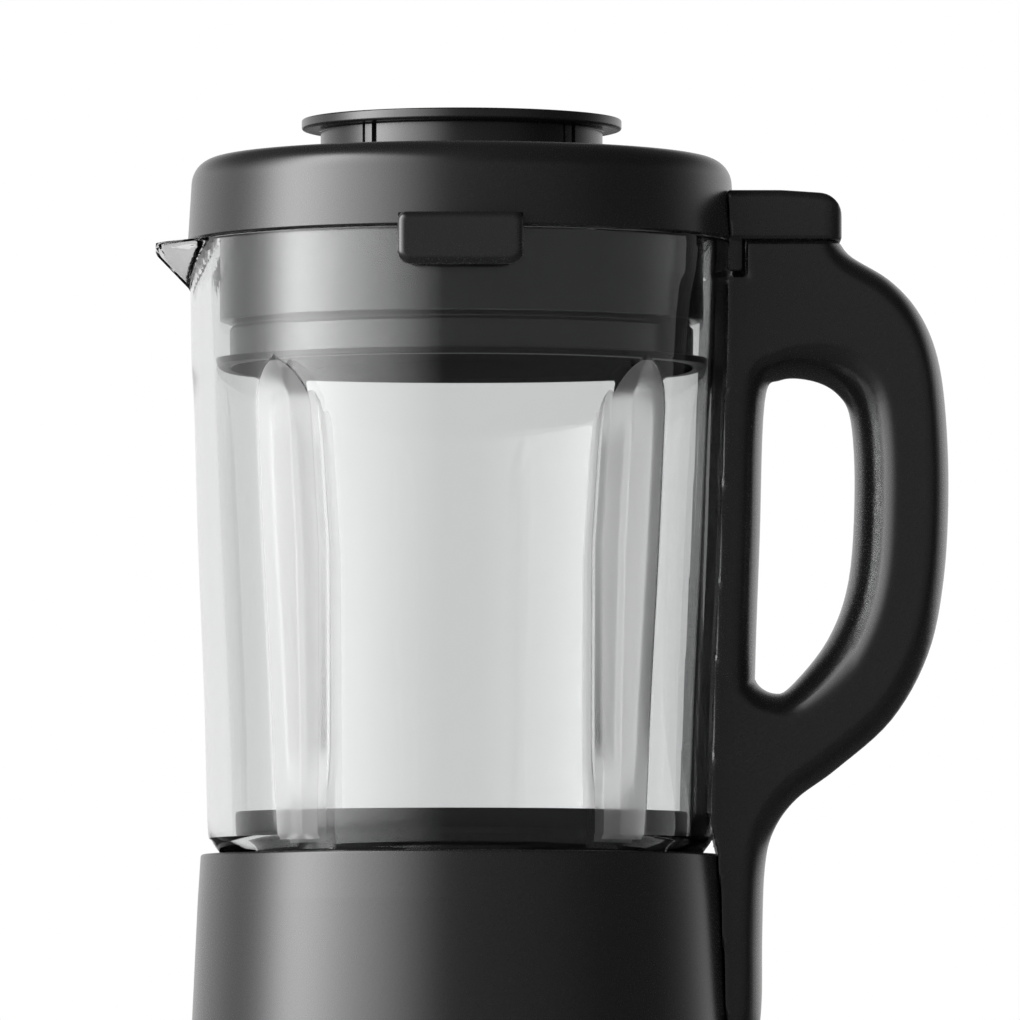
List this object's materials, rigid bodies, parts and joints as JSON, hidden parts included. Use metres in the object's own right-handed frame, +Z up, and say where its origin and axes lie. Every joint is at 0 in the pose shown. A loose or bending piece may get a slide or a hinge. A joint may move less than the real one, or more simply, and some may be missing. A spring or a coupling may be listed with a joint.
{
  "type": "soy milk maker",
  "caption": "Countertop heating blender: a round motor base carries a lift-off fluted glass jug with a D-shaped handle, a plug lid and a feed cap.",
  "frame": {"origin": "middle of the bounding box, on the counter under the feet", "axes": "+Z up, -Y towards the controls, +X towards the handle, -X towards the spout"},
  "size_m": [0.2402, 0.188, 0.4349],
  "materials": {
    "black_gloss": "satin gloss",
    "matte_plastic": "matte",
    "grey_plastic": "satin",
    "jug_glass": "clear",
    "rubber": "matte",
    "silicone": "satin",
    "stainless": "brushed",
    "steel": "ground",
    "laminated_steel": "laminated",
    "copper": "varnished wire",
    "bronze": "sintered",
    "aluminium": "cast",
    "carbon": "pressed carbon",
    "board": "solder mask"
  },
  "bodies": {
    "base": {"base_housing": "black_gloss", "control_panel": "black_gloss", "bottom_cover": "matte_plastic", "rubber_foot_1": "rubber", "rubber_foot_2": "rubber", "rubber_foot_3": "rubber", "rubber_foot_4": "rubber", "top_deck": "matte_plastic", "rotary_encoder": "steel", "control_board": "board", "power_board": "board", "mains_inlet": "matte_plastic", "jug_socket": "grey_plastic", "jug_switch": "matte_plastic", "stator_core": "laminated_steel", "field_coil_left": "copper", "field_coil_right": "copper", "motor_bracket_upper": "aluminium", "motor_bracket_lower": "aluminium", "motor_bearing_upper": "steel", "motor_bearing_lower": "steel", "brush_front": "carbon", "brush_rear": "carbon", "motor_damper": "rubber"},
    "drive": {"motor_shaft": "steel", "armature_core": "laminated_steel", "commutator": "copper", "cooling_fan": "matte_plastic", "drive_coupling": "matte_plastic"},
    "knob": {"selector_knob": "grey_plastic"},
    "button": {"start_button": "grey_plastic"},
    "jug_plunger": {"jug_switch_plunger": "grey_plastic"},
    "jug": {"jug_glass": "jug_glass", "jug_collar": "black_gloss", "collar_plate": "matte_plastic", "heating_pan": "stainless", "pan_gasket": "silicone", "heating_element": "aluminium", "thermostat": "steel", "jug_plug": "grey_plastic", "jug_handle": "black_gloss", "handle_strip": "matte_plastic", "handle_screw": "steel", "lid_switch": "matte_plastic", "blade_housing": "stainless", "shaft_bush": "bronze", "shaft_seal": "silicone"},
    "lid_plunger": {"lid_switch_plunger": "grey_plastic"},
    "blades": {"blade_shaft": "stainless", "blade_lower": "stainless", "blade_upper": "stainless", "blade_nut": "stainless", "drive_socket": "matte_plastic"},
    "lid": {"lid_shell": "black_gloss", "lid_plug": "black_gloss", "lid_gasket": "silicone", "lid_ear": "black_gloss", "lid_pull_tab": "black_gloss"},
    "cap": {"feed_cap": "black_gloss", "cap_gasket": "silicone"}
  },
  "joints": [
    {"name": "jug_lift", "type": "slide", "parent": "base", "child": "jug", "axis": [0, 0, 1], "range_m": [0, 0.12]},
    {"name": "lid_lift", "type": "slide", "parent": "jug", "child": "lid", "axis": [0, 0, 1], "range_m": [0, 0.065]},
    {"name": "cap_lift", "type": "slide", "parent": "lid", "child": "cap", "axis": [0, 0, 1], "range_m": [0, 0.05]},
    {"name": "motor_spin", "type": "hinge", "parent": "base", "child": "drive", "pos_m": [-0.02612, 0, 0.077], "axis": [0, 0, 1], "continuous": true},
    {"name": "blade_spin", "type": "hinge", "parent": "jug", "child": "blades", "pos_m": [-0.02612, 0, 0.2], "axis": [0, 0, 1], "continuous": true},
    {"name": "knob_turn", "type": "hinge", "parent": "base", "child": "knob", "pos_m": [-0.02612, -0.094, 0.088], "axis": [0, -1, 0], "continuous": true},
    {"name": "button_press", "type": "slide", "parent": "base", "child": "button", "axis": [0, 1, 0], "range_m": [0, 0.0015], "stiffness_N_per_m": 500},
    {"name": "jug_switch_press", "type": "slide", "parent": "base", "child": "jug_plunger", "axis": [0, 0, -1], "range_m": [0, 0.0015], "stiffness_N_per_m": 300},
    {"name": "lid_switch_press", "type": "slide", "parent": "jug", "child": "lid_plunger", "axis": [0, 0, -1], "range_m": [0, 0.0015], "stiffness_N_per_m": 300}
  ],
  "couplings": [
    {"joint": "blade_spin", "follows": "motor_spin", "ratio": 1}
  ]
}
